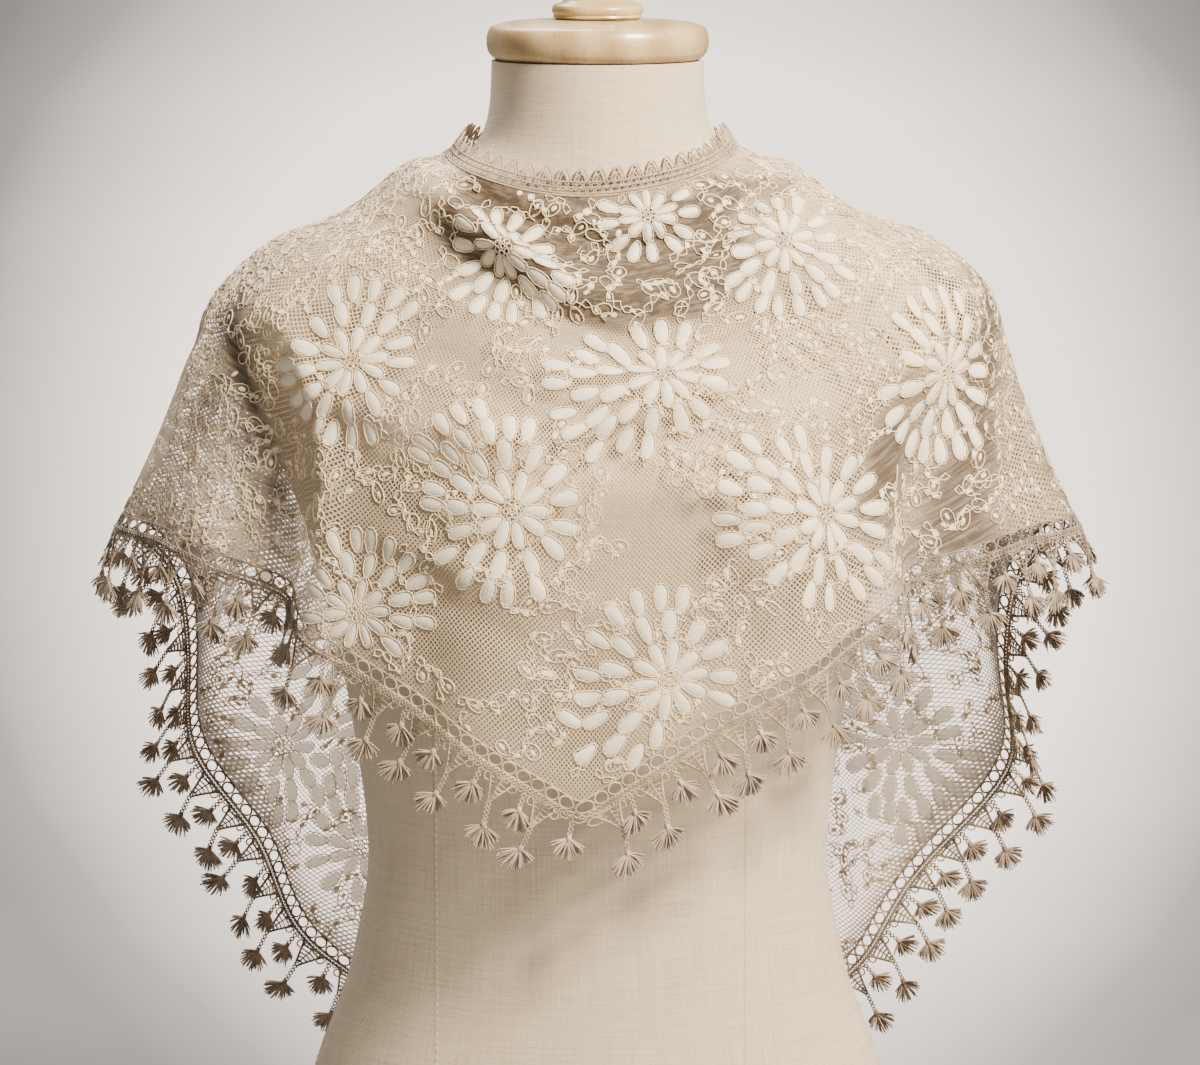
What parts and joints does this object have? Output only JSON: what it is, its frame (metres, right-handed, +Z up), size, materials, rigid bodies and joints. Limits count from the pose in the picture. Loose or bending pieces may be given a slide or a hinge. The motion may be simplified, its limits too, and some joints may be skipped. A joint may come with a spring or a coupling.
{
  "type": "lace mantilla veil on a dress form",
  "caption": "Triangular floral lace mantilla veil with a tasselled hem, draped point-forward round the neck of a limbless linen dress form with a turned wooden cap.",
  "frame": {"origin": "on the flat underside of the dress form, on the upright axis of its neck", "axes": "+Z up along the neck, front of the form and the veil's point towards -Y, +X to the viewer's right"},
  "size_m": [0.557, 0.3209, 0.8053],
  "materials": {
    "lace": "fine taupe net with cream petals and corded outlines",
    "trim": "matt corded edging with fluffy tassels",
    "linen": "natural linen weave with stitched seams",
    "wood": "satin varnished pale maple"
  },
  "bodies": {
    "root": {"dress_form": "linen", "neck_cap": "wood", "cap_knob": "wood", "veil_front": "lace", "veil_left_wing": "lace", "veil_right_wing": "lace", "veil_left_end": "lace", "veil_right_end": "lace", "fringe_front": "trim", "fringe_left_wing": "trim", "fringe_right_wing": "trim", "fringe_left_end": "trim", "fringe_right_end": "trim", "edging_neck_left": "trim", "edging_neck_right": "trim", "edging_left_end": "trim", "edging_right_end": "trim"}
  },
  "joints": []
}
